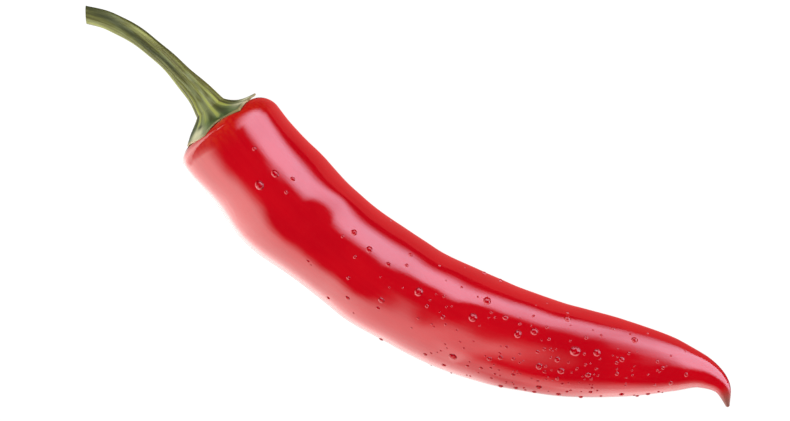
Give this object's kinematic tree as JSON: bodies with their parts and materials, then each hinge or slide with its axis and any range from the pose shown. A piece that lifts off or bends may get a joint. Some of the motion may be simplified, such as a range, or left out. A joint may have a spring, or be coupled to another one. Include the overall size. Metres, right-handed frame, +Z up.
{
  "type": "chilli pepper",
  "caption": "Whole fresh red chilli pepper lying on its side: a long curved tapering pod with a hooked tip, a toothed green calyx and a cut stalk.",
  "frame": {"origin": "middle of the fruit's bounding box in plan, on the surface that it lies on", "axes": "+X from the cut end of the stalk towards the tip, +Z up from the surface, +Y towards the inside of the pod's curve"},
  "size_m": [0.1519, 0.0316, 0.0217],
  "materials": {
    "pod_skin": "glossy waxy red skin",
    "calyx_leaf": "satin green leaf",
    "stem_skin": "satin ribbed olive green"
  },
  "bodies": {
    "root": {"pod": "pod_skin", "calyx": "calyx_leaf", "stem": "stem_skin"}
  },
  "joints": []
}
